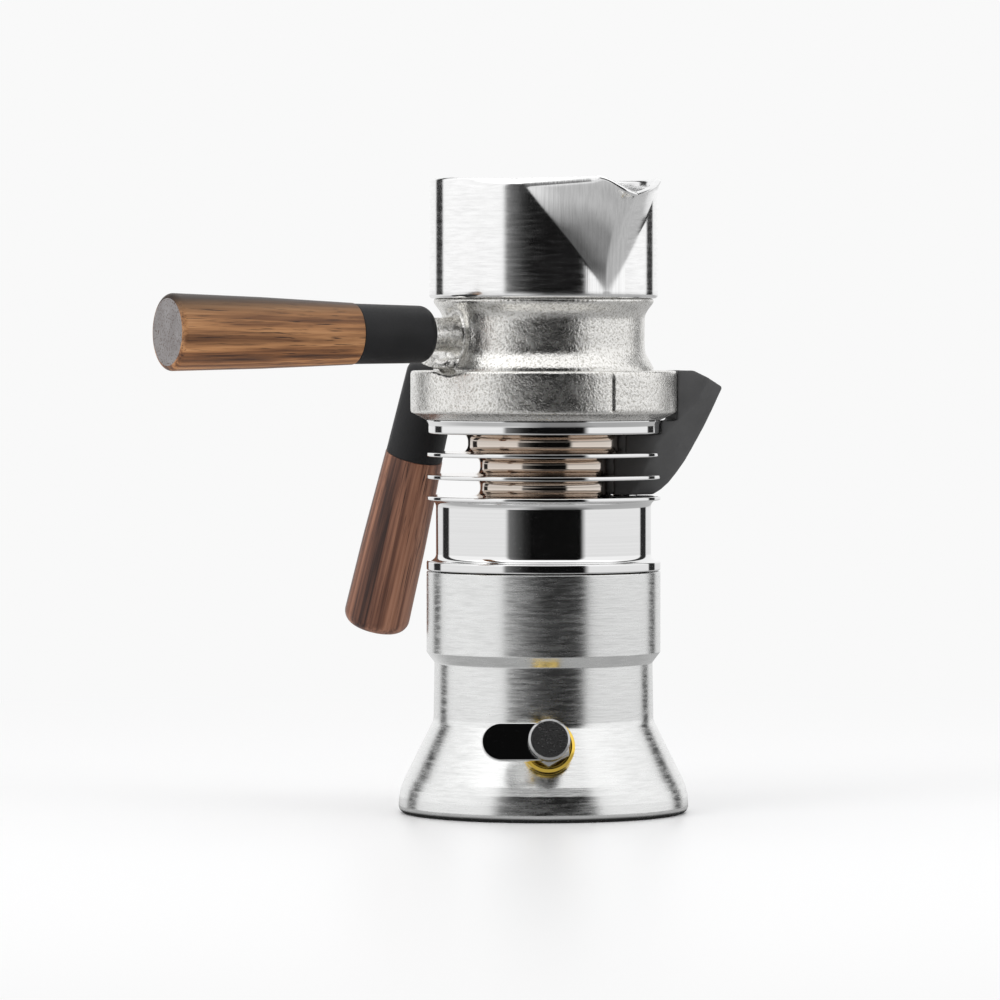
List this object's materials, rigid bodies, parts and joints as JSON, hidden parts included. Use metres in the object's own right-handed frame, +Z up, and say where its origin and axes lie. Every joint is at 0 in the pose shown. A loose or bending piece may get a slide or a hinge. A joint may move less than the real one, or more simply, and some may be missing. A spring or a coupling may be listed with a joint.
{
  "type": "stovetop espresso maker",
  "caption": "Stovetop espresso maker: bell-shaped boiler, finned neck, locking ring, and a brew head with a spouted cup and wooden handles.",
  "frame": {"origin": "middle of the underside, on the hob", "axes": "+Z up along the body's axis, -Y towards the viewer and the safety valve, +X to the viewer's right"},
  "size_m": [0.1776, 0.1426, 0.201],
  "materials": {
    "brushed_shell": "brushed",
    "valve_brass": "polished",
    "seal_rubber": "matte",
    "valve_steel": "turned",
    "spring_steel": "bright",
    "polished_lever": "polished",
    "inner_brass": "turned",
    "polished_shell": "polished",
    "polished_neck": "polished",
    "copper_tube": "drawn",
    "basket_steel": "bright",
    "rough_casting": "rough cast",
    "black_silicone": "matte",
    "black_moulding": "fine grain",
    "walnut": "oiled",
    "polished_cup": "fine brushed"
  },
  "bodies": {
    "base": {"lower_boiler": "brushed_shell", "boiler_bottom_plate": "brushed_shell", "safety_valve_body": "valve_brass", "safety_valve_washer": "seal_rubber", "safety_valve_cap": "valve_steel", "safety_valve_spring": "spring_steel"},
    "safety_stem": {"safety_valve_stem": "valve_steel", "safety_valve_lever": "polished_lever", "safety_valve_knob": "valve_steel"},
    "boiler_seal": {"boiler_gasket": "seal_rubber"},
    "upper": {"boiler_plug": "inner_brass", "upper_boiler_shell": "polished_shell", "finned_neck": "polished_neck", "neck_nut": "inner_brass", "heat_exchanger_coil": "copper_tube", "dip_tube": "copper_tube", "main_valve_housing": "inner_brass", "main_valve_screw": "inner_brass", "main_valve_spring": "spring_steel", "group_gasket": "seal_rubber", "shower_screen": "basket_steel", "group_ring": "rough_casting", "ring_screws": "valve_steel", "filler_nipple": "basket_steel", "filler_spout": "black_silicone", "rear_handle_ferrule": "black_moulding", "rear_handle_grip": "walnut", "rear_handle_stud": "valve_steel"},
    "main_valve": {"main_valve_ball": "valve_steel"},
    "head_clip": {"basket_clip": "spring_steel"},
    "basket": {"filter_basket": "basket_steel"},
    "head": {"brew_head": "rough_casting", "espresso_cup": "polished_cup", "outlet_washer": "seal_rubber", "coffee_outlet": "basket_steel", "front_handle_ferrule": "black_moulding", "front_handle_grip": "walnut", "front_handle_stud": "valve_steel"}
  },
  "joints": [
    {"name": "boiler_lift", "type": "slide", "parent": "base", "child": "boiler_seal", "axis": [0, 0, 1], "range_m": [0, 0.005]},
    {"name": "boiler_unscrew", "type": "hinge", "parent": "boiler_seal", "child": "upper", "pos_m": [0, 0, 0], "axis": [0, 0, 1], "range_deg": [0, 900]},
    {"name": "head_lift", "type": "slide", "parent": "upper", "child": "head_clip", "axis": [0, 0, 1], "range_m": [0, 0.06]},
    {"name": "head_twist", "type": "hinge", "parent": "head_clip", "child": "head", "pos_m": [0, 0, 0], "axis": [0, 0, 1], "range_deg": [-45, 0]},
    {"name": "basket_draw", "type": "slide", "parent": "upper", "child": "basket", "axis": [0, 0, 1], "range_m": [0, 0.03]},
    {"name": "safety_valve_pull", "type": "slide", "parent": "base", "child": "safety_stem", "axis": [0.0337, -0.9653, 0.2588], "range_m": [0, 0.0015], "stiffness_N_per_m": 3000, "springref_m": -0.003},
    {"name": "main_valve_lift", "type": "slide", "parent": "upper", "child": "main_valve", "axis": [0, 0, 1], "range_m": [0, 0.0015], "stiffness_N_per_m": 2000, "springref_m": -0.004, "deforming": ["main_valve_spring"]}
  ],
  "couplings": [
    {"joint": "boiler_lift", "follows": "boiler_unscrew", "m_per_rad": 0.00031831},
    {"joint": "basket_draw", "follows": "head_lift", "ratio": 0.5}
  ]
}
